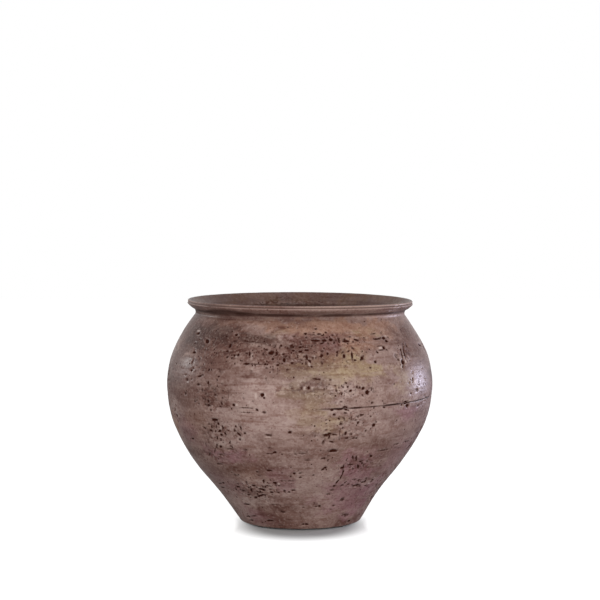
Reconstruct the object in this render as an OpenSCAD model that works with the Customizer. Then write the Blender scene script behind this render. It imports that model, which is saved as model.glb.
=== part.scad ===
/* [Pot] */
// Height of the pot from its foot to the top of its lip
pot_h = 254; // [240:1:290]
// Width of the belly at its widest
belly_d = 305; // [290:1:340]
// Height of the widest part of the belly above the foot
belly_h = 156; // [144:1:168]
// Width of the foot
foot_d = 138; // [128:1:154]
// Width of the neck at its narrowest, outside
neck_d = 240; // [225:1:246]
// How far the lip stands out beyond the neck
lip_reach = 9; // [6:0.5:14]

/* [Leans, in degrees from upright] */
// Outward lean of the wall just above the foot
foot_lean = 33; // [26:1:38]
// Outward lean of the flank where it is straightest
flank_lean = 40; // [35:1:45]
// Inward lean of the shoulder where it meets the neck
shoulder_lean = 37; // [30:1:42]
// Outward lean of the underside of the rim
flare_lean = 48; // [40:1:52]

/* [Clay walls] */
// Thickness of the wall at the foot
foot_wall = 13; // [11:0.5:15]
// Thickness of the wall from the flank to the belly
belly_wall = 8; // [6.5:0.5:10]
// Thickness of the floor
floor_t = 10; // [7:0.5:13]
// Height of the hollow under the floor, above the foot
foot_hollow = 3; // [2:0.5:5]
// Width of the ring that the pot stands on
foot_ring_w = 15; // [14:0.5:17]
// Radius of the outer edge of the foot
foot_round = 2.5; // [1:0.5:4]

/* [Rim] */
// Radius of the hollow between the shoulder and the rim
cove_r = 4; // [3:0.5:7]
// Radius of the two beads of the lip
bead_r = 1.8; // [1.4:0.1:2.4]
// Height of the top bead above the edge bead
bead_rise = 2.2; // [1.6:0.1:2.6]
// How far the top bead stands back from the edge bead
bead_setback = 0.4; // [0:0.1:1]

/* [Luted joints] */
// Height of the seam round the belly, above the foot
seam_h = 144; // [110:1:170]
// Depth of the nick that the seam leaves in the outside of the wall
seam_nick = 0.6; // [0.3:0.1:1.2]
// Height of the tongue that keys one clay section into the next
tongue_h = 2.5; // [1.5:0.5:4]

/* [Sealing coils] */
// Height of the coil smoothed over the belly seam, inside
belly_coil_h = 20; // [14:1:30]
// Thickness of that coil at its middle
belly_coil_t = 2.4; // [1.5:0.1:4]
// Reach of the corner coil over the floor, inwards from the wall
floor_coil_w = 13; // [10:1:18]
// Reach of the corner coil up the wall
floor_coil_h = 12; // [8:1:18]

/* [Throwing rings] */
// Height from one finger ring to the next, inside
ring_pitch = 13; // [10:1:18]
// Depth of a finger ring
ring_depth = 0.8; // [0.4:0.1:1.4]

/* [Felt pads] */
// Width of a felt pad
pad_d = 12; // [8:1:12]
// Thickness of a felt pad
pad_t = 1.5; // [1:0.5:3]
// Number of felt pads under the foot
pad_count = 4; // [3:1:6]

/* [Hidden] */
$fn = 144;

// The outline passes the flank at these shares of the way from the foot to the belly.
flank_height_share = 0.35;
flank_reach_share = 0.47;
// Each land beside a tongue takes this share of the wall.
land_share = 0.26;

wall_steps = 120;
arc_steps = 8;
// A point of the wall that lies closer than this to where the wall is cut is left out.
cut_clearance = 0.02;
floor_rings = 3;
steps_per_ring = 8;

glazed_clay = [0.53, 0.42, 0.38];
coil_clay = [0.50, 0.39, 0.34];
bare_clay = [0.62, 0.45, 0.36];
pad_felt = [0.24, 0.19, 0.17];

// Heights above the surface that the pads rest on.
foot_z = pad_t;
slab_low_z = foot_z + foot_hollow;
slab_top_z = slab_low_z + floor_t;
seam_z = foot_z + seam_h;

// The foot's outer edge is an arc between the level foot and the leaning wall.
foot_edge_centre = [foot_d / 2 - foot_round * tan((90 - foot_lean) / 2), foot_z + foot_round];
seat_r = foot_d / 2 - foot_ring_w;

// The lip is two beads, one on the other. Its underside runs down to the cove at the neck.
edge_bead = [neck_d / 2 + lip_reach - bead_r, foot_z + pot_h - bead_r - bead_rise];
top_bead = [edge_bead[0] - bead_setback, foot_z + pot_h - bead_r];
flare_foot_r = neck_d / 2 + cove_r * (1 - cos(flare_lean));
flare_run = (edge_bead[0] + bead_r * cos(flare_lean) - flare_foot_r) / tan(flare_lean);
cove_centre = [
    neck_d / 2 + cove_r,
    edge_bead[1] - bead_r * sin(flare_lean) - flare_run - cove_r * sin(flare_lean)
];
rim_wall = 2 * bead_r + bead_rise * sin(flare_lean) + bead_setback * cos(flare_lean);

// Stations of the outline: height, radius and slope, which is the radius gained for each unit of height.
foot_station = [
    foot_edge_centre[1] - foot_round * sin(foot_lean),
    foot_edge_centre[0] + foot_round * cos(foot_lean),
    tan(foot_lean)
];
flank_station = [
    foot_z + flank_height_share * belly_h,
    foot_d / 2 + flank_reach_share * (belly_d - foot_d) / 2,
    tan(flank_lean)
];
belly_station = [foot_z + belly_h, belly_d / 2, 0];
neck_station = [
    cove_centre[1] - cove_r * sin(shoulder_lean),
    cove_centre[0] - cove_r * cos(shoulder_lean),
    -tan(shoulder_lean)
];
stations = [foot_station, flank_station, belly_station, neck_station];

// A cubic from station a to station b, with the radius and the slope of each.
function cubic_r(a, b, t) =
    (2 * t ^ 3 - 3 * t ^ 2 + 1) * a[1] + (t ^ 3 - 2 * t ^ 2 + t) * (b[0] - a[0]) * a[2]
    + (3 * t ^ 2 - 2 * t ^ 3) * b[1] + (t ^ 3 - t ^ 2) * (b[0] - a[0]) * b[2];
function cubic_slope(a, b, t) =
    6 * (t ^ 2 - t) * (a[1] - b[1]) / (b[0] - a[0])
    + (3 * t ^ 2 - 4 * t + 1) * a[2] + (3 * t ^ 2 - 2 * t) * b[2];
function way(z, low, high) = (z - low) / (high - low);
function span_at(z) = z < flank_station[0] ? 0 : z < belly_station[0] ? 1 : 2;
function outer_r(z) =
    let (a = stations[span_at(z)], b = stations[span_at(z) + 1])
    cubic_r(a, b, way(z, a[0], b[0]));
function outer_lean(z) =
    let (a = stations[span_at(z)], b = stations[span_at(z) + 1])
    atan(cubic_slope(a, b, way(z, a[0], b[0])));

// The wall thins from the foot to the flank, keeps its thickness to the belly, and thins again to the rim.
function eased(a, b, t) = a + (b - a) * t ^ 2 * (3 - 2 * t);
function plain_wall(z) =
    span_at(z) == 0 ? eased(foot_wall, belly_wall, way(z, foot_station[0], flank_station[0]))
    : span_at(z) == 1 ? belly_wall
    : eased(belly_wall, rim_wall, way(z, belly_station[0], neck_station[0]));
// The finger rings die out over the last ring below the neck.
function ring_fade(z) = min(1, (neck_station[0] - z) / ring_pitch);
function wall_t(z) =
    plain_wall(z) + ring_depth / 2 * ring_fade(z) * sin(360 * (z - slab_top_z) / ring_pitch);

// The outside and the inside of the wall as [radius, height], from the foot to the neck.
wall_heights = [
    for (i = [0 : wall_steps]) foot_station[0] + i / wall_steps * (neck_station[0] - foot_station[0])
];
outer_curve = [for (z = wall_heights) [outer_r(z), z]];
inner_curve = [
    for (z = wall_heights)
        [outer_r(z) - wall_t(z) * cos(outer_lean(z)), z + wall_t(z) * sin(outer_lean(z))]
];

function last(list) = list[len(list) - 1];
function reversed(list) = [for (i = [len(list) - 1 : -1 : 0]) list[i]];
// The point of a curve at one height, and the stretch of it between two heights with both ends.
function point_at(curve, z) = [lookup(z, [for (p = curve) [p[1], p[0]]]), z];
function stretch(curve, low, high) = concat(
    [point_at(curve, low)],
    [for (p = curve) if (p[1] > low + cut_clearance && p[1] < high - cut_clearance) p],
    [point_at(curve, high)]
);
function arc(centre, r, from, to, steps) = [
    for (i = [0 : steps])
        let (angle = from + i / steps * (to - from)) centre + r * [cos(angle), sin(angle)]
];

// The tongue across a joint, from the wall's outside to its inside, without the two ends.
function tongue(outside, inside) =
    let (
        across = inside - outside,
        up = [across[1], -across[0]] / norm(across)
    )
    [
        outside + land_share * across,
        outside + across / 2 + tongue_h * up,
        outside + (1 - land_share) * across
    ];
function inward_from(outside, inside, depth) = outside + depth * (inside - outside) / norm(inside - outside);

// The floor meets the inside of the wall at this corner, and its edge slants down from there to its seat.
slab_corner = point_at(inner_curve, slab_top_z);

seam_outside = point_at(outer_curve, seam_z);
seam_inside = point_at(inner_curve, seam_z);
seam_nick_point = inward_from(seam_outside, seam_inside, seam_nick);
seam_tongue = tongue(seam_outside, seam_inside);
neck_tongue = tongue(last(outer_curve), last(inner_curve));

// The floor wedges in from above, on its slanting edge. Finger rings circle its top inside the coil.
module floor_slab() {
    ring_step = (slab_corner[0] - floor_coil_w) / (floor_rings * steps_per_ring);
    ringed_top = [
        for (i = [0 : floor_rings * steps_per_ring])
            [i * ring_step, slab_top_z - ring_depth * (1 - cos(360 * i / steps_per_ring)) / 2]
    ];
    color(bare_clay)
        rotate_extrude()
            polygon(concat(
                [[0, slab_low_z], [seat_r, slab_low_z], slab_corner],
                reversed(ringed_top)
            ));
}

// From the foot ring to the seam. Its tongue stands up round the top edge.
module lower_wall() {
    foot_edge = arc(foot_edge_centre, foot_round, -90, -foot_lean, arc_steps);
    color(glazed_clay)
        rotate_extrude()
            polygon(concat(
                [[seat_r, foot_z]],
                [for (i = [0 : arc_steps - 1]) foot_edge[i]],
                stretch(outer_curve, foot_station[0], seam_z - seam_nick),
                [seam_nick_point],
                seam_tongue,
                reversed(stretch(inner_curve, slab_top_z, seam_z)),
                [[seat_r, slab_low_z]]
            ));
}

// From the seam to the neck, with a groove below and a tongue above.
module upper_wall() {
    color(glazed_clay)
        rotate_extrude()
            polygon(concat(
                reversed(seam_tongue),
                [seam_nick_point],
                stretch(outer_curve, seam_z + seam_nick, neck_station[0]),
                neck_tongue,
                reversed(stretch(inner_curve, seam_z, last(inner_curve)[1]))
            ));
}

// The neck and the flared rim, with the two beads of the lip.
module rim() {
    bead_gap = top_bead - edge_bead;
    bead_turn = atan2(bead_gap[1], bead_gap[0]);
    bead_meet = acos(norm(bead_gap) / (2 * bead_r));
    color(glazed_clay)
        rotate_extrude()
            polygon(concat(
                arc(cove_centre, cove_r, 180 + shoulder_lean, 180 - flare_lean, arc_steps),
                arc(edge_bead, bead_r, -flare_lean, bead_turn - bead_meet, arc_steps),
                [
                    for (i = [1 : arc_steps])
                        arc(top_bead, bead_r, bead_turn - 180 + bead_meet, 180 - flare_lean, arc_steps)[i]
                ],
                arc(cove_centre, cove_r + rim_wall, 180 - flare_lean, 180 + shoulder_lean, arc_steps),
                reversed(neck_tongue)
            ));
}

// A coil of clay on the wall's inside. Its thickness follows from the share of its height.
module wall_coil(low, height, thickness) {
    seat = stretch(inner_curve, low, low + height);
    face = [
        for (p = reversed(seat))
            let (t = thickness(way(p[1], low, low + height)))
            if (t > 0) p - [t, 0]
    ];
    color(coil_clay)
        rotate_extrude()
            polygon(concat(seat, face));
}

// The coil smoothed over the seam is thickest at its middle and feathered out at its edges.
module belly_coil() {
    wall_coil(seam_z - belly_coil_h / 2, belly_coil_h, function (share) belly_coil_t * sin(180 * share));
}

// The coil thumbed into the corner is a hollow fillet over the joint between the floor and the wall.
module floor_coil() {
    wall_coil(slab_top_z, floor_coil_h, function (share) floor_coil_w * (1 - share) ^ 2);
}

// Felt pads stuck under the middle of the foot ring.
module foot_pads() {
    pad_circle_r = (seat_r + foot_edge_centre[0]) / 2;
    color(pad_felt)
        for (i = [0 : pad_count - 1])
            rotate([0, 0, 360 * (i + 1 / 2) / pad_count])
                translate([pad_circle_r, 0, 0])
                    cylinder(h = pad_t, d = pad_d);
}

floor_slab();
lower_wall();
upper_wall();
rim();
belly_coil();
floor_coil();
foot_pads();
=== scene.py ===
# %% [markdown]
# # A brown clay vase
# The vase is a round pot of fired clay that stands on felt pads. It was made in sections: a floor, a
# bowl, a shoulder and a rim, luted together with slip and sealed inside with coils of clay. The
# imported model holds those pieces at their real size. This lesson gives them their skins: the slight
# bow of a soft pot, the open seam, the pits, and a mottled finish rubbed into all of them.

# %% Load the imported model
import math

import bpy
import numpy as np
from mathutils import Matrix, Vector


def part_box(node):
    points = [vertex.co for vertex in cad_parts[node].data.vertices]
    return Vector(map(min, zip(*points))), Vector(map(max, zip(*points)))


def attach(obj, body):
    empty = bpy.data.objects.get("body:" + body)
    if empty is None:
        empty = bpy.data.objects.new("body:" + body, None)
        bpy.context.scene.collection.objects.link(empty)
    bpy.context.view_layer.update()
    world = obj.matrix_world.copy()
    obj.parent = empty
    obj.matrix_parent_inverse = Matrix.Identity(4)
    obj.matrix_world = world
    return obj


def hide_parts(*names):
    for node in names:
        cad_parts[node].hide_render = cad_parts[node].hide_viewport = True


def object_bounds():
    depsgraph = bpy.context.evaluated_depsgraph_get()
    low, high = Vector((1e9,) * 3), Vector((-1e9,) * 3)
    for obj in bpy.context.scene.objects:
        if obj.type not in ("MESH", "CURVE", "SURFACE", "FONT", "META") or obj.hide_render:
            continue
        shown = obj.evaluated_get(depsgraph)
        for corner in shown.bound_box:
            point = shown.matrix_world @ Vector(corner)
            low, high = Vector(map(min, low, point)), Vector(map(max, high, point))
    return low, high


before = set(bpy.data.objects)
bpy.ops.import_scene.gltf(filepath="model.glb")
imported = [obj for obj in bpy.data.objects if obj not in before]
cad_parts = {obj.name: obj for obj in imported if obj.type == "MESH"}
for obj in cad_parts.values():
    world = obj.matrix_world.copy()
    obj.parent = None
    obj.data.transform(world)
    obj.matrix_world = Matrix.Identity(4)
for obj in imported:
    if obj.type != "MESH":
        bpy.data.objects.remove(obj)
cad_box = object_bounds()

mm = 0.001
print("CAD box in mm:", [round(side / mm, 1) for side in cad_box[1] - cad_box[0]])

# %% [markdown]
# ## The camera
# The outline of the pot in the picture tells where the camera stood: how far the lip's far edge
# rises above its near edge gives the camera's height, and how much wider the near parts look gives
# its distance. A long lens, 2.2 metres away and a little above the lip, draws the pot as it is seen.

# %% Camera
camera = bpy.data.objects.new("camera", bpy.data.cameras.new("camera"))
camera_distance = 2169 * mm
camera_height = 392 * mm
camera_side = 0.3 * mm
camera_pitch = math.radians(3.65)
camera.location = (camera_side, -camera_distance, camera_height)
camera.rotation_euler = (math.pi / 2 - camera_pitch, 0, 0)
camera.data.sensor_width = 36
camera.data.lens = 113.97
bpy.context.scene.collection.objects.link(camera)
bpy.context.scene.camera = camera
bpy.context.scene.view_settings.view_transform = "Standard"
print("camera", round(camera_distance, 3), "m in front and", round(camera_height, 3), "m up")

# %% [markdown]
# ## Colours
# A finish is easier to judge in the numbers of a picture, from 0 to 255, than in the amounts of light
# that a renderer adds up. One function turns the first into the second.

# %% Colour helper
def colour(red, green, blue):
    """The light in a picture's colour: ((c + 0.055) / 1.055) ^ 2.4, and c / 12.92 for the darkest."""
    c = np.array([red, green, blue]) / 255
    return (*np.where(c > 0.04045, ((c + 0.055) / 1.055) ** 2.4, c / 12.92), 1)


# %% [markdown]
# ## Materials from small parts
# A material is a graph. Written out in full, each node takes three or four lines, so this class gives
# the graph a short grammar: a value or a socket goes in, and a socket comes out.

# %% Shader grammar
class Shader:
    """The node graph of a material or a world. Each method adds nodes and returns an output socket."""

    def __init__(self, owner, output="OutputMaterial"):
        owner.use_nodes = True
        self.owner = owner
        self.tree = owner.node_tree
        self.tree.nodes.clear()
        self.output = self.node(output)

    def node(self, kind, inputs=(), **settings):
        node = self.tree.nodes.new("ShaderNode" + kind)
        for key, value in settings.items():
            setattr(node, key, value)
        for key, value in dict(inputs).items():
            if isinstance(value, bpy.types.NodeSocket):
                self.tree.links.new(value, node.inputs[key])
            else:
                node.inputs[key].default_value = value
        return node

    def tint(self, name):
        return self.node("Attribute", attribute_name=name).outputs["Fac"]

    def place(self, stretch, shift):
        here = self.node("TexCoord").outputs["Object"]
        sized = {"Vector": here, "Location": shift, "Scale": stretch}
        return self.node("Mapping", sized).outputs["Vector"]

    def noise(self, size, stretch, detail, shift=(0, 0, 0)):
        """Soft random value whose features are about `size` millimetres wide, times 1 / stretch."""
        inputs = {"Vector": self.place(stretch, shift), "Scale": 1 / (size * mm), "Detail": detail}
        return self.node("TexNoise", inputs).outputs["Fac"]

    def maths(self, operation, a, b=0.0, c=0.0):
        return self.node("Math", {0: a, 1: b, 2: c}, operation=operation).outputs[0]

    def times(self, a, b):
        return self.maths("MULTIPLY", a, b)

    def most(self, value, *others):
        """The largest of some values."""
        for other in others:
            value = self.maths("MAXIMUM", value, other)
        return value

    def ramp(self, value, low, high):
        """0 below low, 1 above high, and smooth between."""
        inputs = {"Value": value, "From Min": low, "From Max": high}
        return self.node("MapRange", inputs, interpolation_type="SMOOTHSTEP").outputs["Result"]

    def mix(self, share, a, b, blend="MIX"):
        return self.node("Mix", {0: share, 6: a, 7: b}, data_type="RGBA", blend_type=blend).outputs[2]

    def layer(self, base, tone, share, strength):
        """The base with a tone laid over it, as thick as the share times the strength."""
        return self.mix(self.times(share, strength), base, tone)

    def pits(self, size, density, widest, stretch, shift):
        """1 in a small pit and 0 around it. Each cell of about `size` millimetres has one, where its
        random number is below the density, with a radius of the widest share of the cell."""
        inputs = {"Vector": self.place(stretch, shift), "Scale": 1 / (size * mm)}
        cells = self.node("TexVoronoi", inputs)
        chance = self.node("SeparateColor", {0: cells.outputs["Color"]}).outputs[0]
        bowl = self.ramp(cells.outputs["Distance"], widest, widest * 0.5)
        return self.times(self.maths("LESS_THAN", chance, density), bowl)

    def bump(self, height, distance, strength):
        inputs = {"Height": height, "Distance": distance * mm, "Strength": strength}
        return self.node("Bump", inputs).outputs["Normal"]

    def surface(self, kind="BsdfPrincipled", **inputs):
        shader = self.node(kind, {key.replace("_", " "): value for key, value in inputs.items()})
        self.tree.links.new(shader.outputs[0], self.output.inputs["Surface"])
        return self.owner


# %% [markdown]
# ## Floor, background and light
# The pot stands on a white sweep in a bright studio. The floor's own colour stays a plain pale grey,
# so that the pot's shadow shows, and what the camera sees of it is lifted to white by a light that
# only the camera's rays meet. The world does the same: it lights the pot softly, and is pure white
# where it is seen directly or in a reflection.

# %% Floor
floor_half = 4.0
floor_tone, floor_lift = (0.43, 0.43, 0.43, 1), 0.85
shadow_squash, shadow_shift = (1.22, 1, 1), (-2 * mm, 35 * mm, 0)
core_edge, side_edge = (57 * mm, 112 * mm), (74 * mm, 96 * mm)


def pale_floor():
    """Grey, and lifted to white for the camera alone, but not in the core of the shadow: an oval that
    ends where the distance from its middle, or the distance to its side, passes an edge."""
    s = Shader(bpy.data.materials.new("studio_floor"))
    seen = s.node("LightPath").outputs["Is Camera Ray"]
    here = s.place(shadow_squash, shadow_shift)
    from_core = s.node("VectorMath", {0: here}, operation="LENGTH").outputs["Value"]
    beside = s.maths("ABSOLUTE", s.node("SeparateXYZ", {0: here}).outputs["X"])
    lit = s.most(s.ramp(from_core, *core_edge), s.ramp(beside, *side_edge))
    return s.surface(Base_Color=floor_tone, Roughness=1.0, Specular_IOR_Level=0.0,
                     Emission_Color=(1, 1, 1, 1), Emission_Strength=s.times(seen, s.times(lit, floor_lift)))


floor_mesh = bpy.data.meshes.new("studio_floor")
floor_corners = [(x * floor_half, y * floor_half, 0) for x, y in ((-1, -1), (1, -1), (1, 1), (-1, 1))]
floor_mesh.from_pydata(floor_corners, [], [(0, 1, 2, 3)])
floor_mesh.materials.append(pale_floor())
floor = bpy.data.objects.new("studio_floor", floor_mesh)
bpy.context.scene.collection.objects.link(floor)

# %% World
world_light = 0.5
sky = Shader(bpy.data.worlds.new("studio"), "OutputWorld")
ray = sky.node("LightPath").outputs
white = sky.most(ray["Is Camera Ray"], ray["Is Transmission Ray"], ray["Is Glossy Ray"])
strength = sky.node("MapRange", {"Value": white, "To Min": world_light, "To Max": 1.0}).outputs["Result"]
bpy.context.scene.world = sky.surface("Background", Color=(1, 1, 1, 1), Strength=strength)


# %% Lamps
def softbox(name, bearing, distance, height, sides, power, tone=(1, 1, 1)):
    """A lamp with two sides that looks at the pot's middle. Its bearing is in degrees, 0 at the camera
    and 90 to the right."""
    lamp = bpy.data.lights.new(name, "AREA")
    lamp.shape = "RECTANGLE"
    lamp.size, lamp.size_y = sides
    lamp.energy = power
    lamp.color = tone
    holder = bpy.data.objects.new(name, lamp)
    turn = math.radians(bearing)
    holder.location = (distance * math.sin(turn), -distance * math.cos(turn), height)
    aim = holder.location - (cad_box[0] + cad_box[1]) / 2
    holder.rotation_euler = aim.to_track_quat("Z", "Y").to_euler()
    holder.visible_camera = False
    bpy.context.scene.collection.objects.link(holder)


softbox("key_softbox", 7, 1.6, 0.36, (0.9, 0.9), 24, (0.96, 1, 1))
softbox("right_softbox", 117, 1.0, 0.15, (0.22, 0.15), 4.0, (0.8, 0.78, 1))
softbox("right_fill", 106, 1.1, 0.15, (0.6, 0.6), 2.4, (0.72, 0.8, 1))
softbox("left_softbox", -111, 1.2, 0.41, (0.08, 0.05), 3.2)

# %% [markdown]
# ## The outline in numbers
# A thrown wall is a smooth curve, and a few measures hold it: where the foot, the flank, the belly and
# the neck are, how wide each is and how much it leans. Between two of them the curve is a cubic, as
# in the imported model, so the new skins start exactly on its solids. What the model's boxes give is
# measured from them, and the rest is repeated here. All lengths are in millimetres until a mesh is made.

# %% Driving sizes
foot_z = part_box("foot_pads")[1].z / mm
slab_low_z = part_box("floor_slab")[0].z / mm
slab_top_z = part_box("floor_slab")[1].z / mm
seam_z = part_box("upper_wall")[0].z / mm
top_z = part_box("rim")[1].z / mm
belly_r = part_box("upper_wall")[1].x / mm
lip_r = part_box("rim")[1].x / mm
foot_r, neck_r = 69, 120
belly_h = 156
foot_lean, flank_lean, shoulder_lean, flare_lean = np.radians([33, 40, 37, 48])
flank_height_share, flank_reach_share = 0.35, 0.47
foot_round = 2.5
foot_ring_w = 15
cove_r = 4
bead_r, bead_rise, bead_setback = 1.8, 2.2, 0.4
foot_wall, belly_wall = 13, 8
ring_pitch, ring_depth = 13, 0.8
land_share, tongue_h = 0.26, 2.5
print("seam at", round(seam_z, 1), "top at", round(top_z, 1), "belly radius", round(belly_r, 1))

# %% Stations of the outline
edge_bead = np.array([lip_r - bead_r, top_z - bead_r - bead_rise])
top_bead = np.array([edge_bead[0] - bead_setback, top_z - bead_r])
flare_foot_r = neck_r + cove_r * (1 - math.cos(flare_lean))
flare_run = (edge_bead[0] + bead_r * math.cos(flare_lean) - flare_foot_r) / math.tan(flare_lean)
cove_z = edge_bead[1] - bead_r * math.sin(flare_lean) - flare_run - cove_r * math.sin(flare_lean)
cove = np.array([neck_r + cove_r, cove_z])
rim_wall = 2 * bead_r + bead_rise * math.sin(flare_lean) + bead_setback * math.cos(flare_lean)
foot_edge = np.array([foot_r - foot_round * math.tan((math.pi / 2 - foot_lean) / 2), foot_z + foot_round])
# One row each for the foot, the flank, the belly and the neck: height, radius, slope.
stations = np.array([
    [foot_edge[1] - foot_round * math.sin(foot_lean),
     foot_edge[0] + foot_round * math.cos(foot_lean),
     math.tan(foot_lean)],
    [foot_z + flank_height_share * belly_h,
     foot_r + flank_reach_share * (belly_r - foot_r),
     math.tan(flank_lean)],
    [foot_z + belly_h, belly_r, 0],
    [cove[1] - cove_r * math.sin(shoulder_lean),
     cove[0] - cove_r * math.cos(shoulder_lean),
     -math.tan(shoulder_lean)],
])
print("stations\n", stations.round(2))


# %% Outline and wall functions
def outline(height):
    """Radius and slope of the outside at a height: a cubic between the stations below and above it,
    with the radius and the slope of each."""
    below = np.clip(np.searchsorted(stations[:, 0], height, side="right") - 1, 0, len(stations) - 2)
    z0, r0, slope0 = np.moveaxis(stations[below], -1, 0)
    z1, r1, slope1 = np.moveaxis(stations[below + 1], -1, 0)
    span = z1 - z0
    t = np.clip((height - z0) / span, 0, 1)
    radius = ((2 * t**3 - 3 * t**2 + 1) * r0 + (t**3 - 2 * t**2 + t) * span * slope0
              + (3 * t**2 - 2 * t**3) * r1 + (t**3 - t**2) * span * slope1)
    slope = 6 * (t**2 - t) * (r0 - r1) / span + (3 * t**2 - 4 * t + 1) * slope0 + (3 * t**2 - 2 * t) * slope1
    return radius, slope


def eased(a, b, t):
    """From a to b with 3 t^2 - 2 t^3."""
    t = np.clip(t, 0, 1)
    return a + (b - a) * t**2 * (3 - 2 * t)


def bell(distance, half, power=2):
    """A bell curve, 1 in the middle: exp(-(distance / half)^power)."""
    return np.exp(-((distance / half) ** power))


def wall_thickness(height):
    """The wall thins from foot to flank and from belly to neck, and it swells and thins with each
    finger ring."""
    foot, flank, belly, neck = stations[:, 0]
    plain = eased(foot_wall, belly_wall, (height - foot) / (flank - foot))
    plain = np.where(height > belly, eased(belly_wall, rim_wall, (height - belly) / (neck - belly)), plain)
    fade = np.minimum(1, (neck - height) / ring_pitch)
    return plain + ring_depth / 2 * fade * np.sin(2 * np.pi * (height - slab_top_z) / ring_pitch)


wall_heights = np.linspace(stations[0, 0], stations[-1, 0], 600)
wall_radius, wall_slope = outline(wall_heights)
wall_lean = np.arctan(wall_slope)
inner_r = wall_radius - wall_thickness(wall_heights) * np.cos(wall_lean)
inner_z = wall_heights + wall_thickness(wall_heights) * np.sin(wall_lean)
slab_corner = np.array([np.interp(slab_top_z, inner_z, inner_r), slab_top_z])
print("floor's corner radius", slab_corner[0].round(1), "inside of the neck", inner_r[-1].round(1))


# %% [markdown]
# ## Random numbers round a pot
# Clay is uneven in a slow, smooth way. A row of random numbers round the pot and another above it,
# blended into each other, give such hills, and they close on themselves at the back because the last
# number in a row is followed by the first. The seeds are fixed, so the pot is the same each time.

# %% Hills of clay
def hills(angle, height, around, pitch, seed):
    """Smooth random height from -1 to 1: a random number at each crossing of `around` lines round the
    pot and one ring each `pitch` millimetres, blended with 3 t^2 - 2 t^3."""
    numbers = np.random.default_rng(seed).uniform(-1, 1, (int(400 / pitch) + 4, around))
    u = angle / (2 * np.pi) * around
    v = np.clip(height, 0, 300) / pitch + 1
    column, row = np.floor(u).astype(int), np.floor(v).astype(int)
    s, t = eased(0, 1, u - column), eased(0, 1, v - row)
    left, right = column % around, (column + 1) % around
    low = numbers[row, left] * (1 - s) + numbers[row, right] * s
    high = numbers[row + 1, left] * (1 - s) + numbers[row + 1, right] * s
    return low * (1 - t) + high * t


def layered(angle, height, layers, seed=0):
    """Hills on hills. A layer is a size, hills round the pot, a pitch in height and a seed of its own."""
    return sum(size * hills(angle, height, count, pitch, seed + own) for size, count, pitch, own in layers)


# %% [markdown]
# ## Marks in the surface
# Grog and air leave pits where the wet wall was dragged: some alone, most in crowds. Each mark is a
# small bowl with an angle round the pot (0 faces the camera, 90 is to the right), a height above the
# foot, two half-widths, a turn and a depth. Those that stand out are listed one by one. The crowds are
# drawn at random, round centres that are also listed one by one in front and drawn at random behind.

# %% Marks that are listed one by one
def six_numbers(places):
    """Rows of degrees, height, half-width, half-height, turn and depth, from lists that are kept by depth.
    A place that has no turn gets 0."""
    return np.array([(*place, 0)[:5] + (depth,) for depth, rows in places.items() for place in rows])


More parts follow.
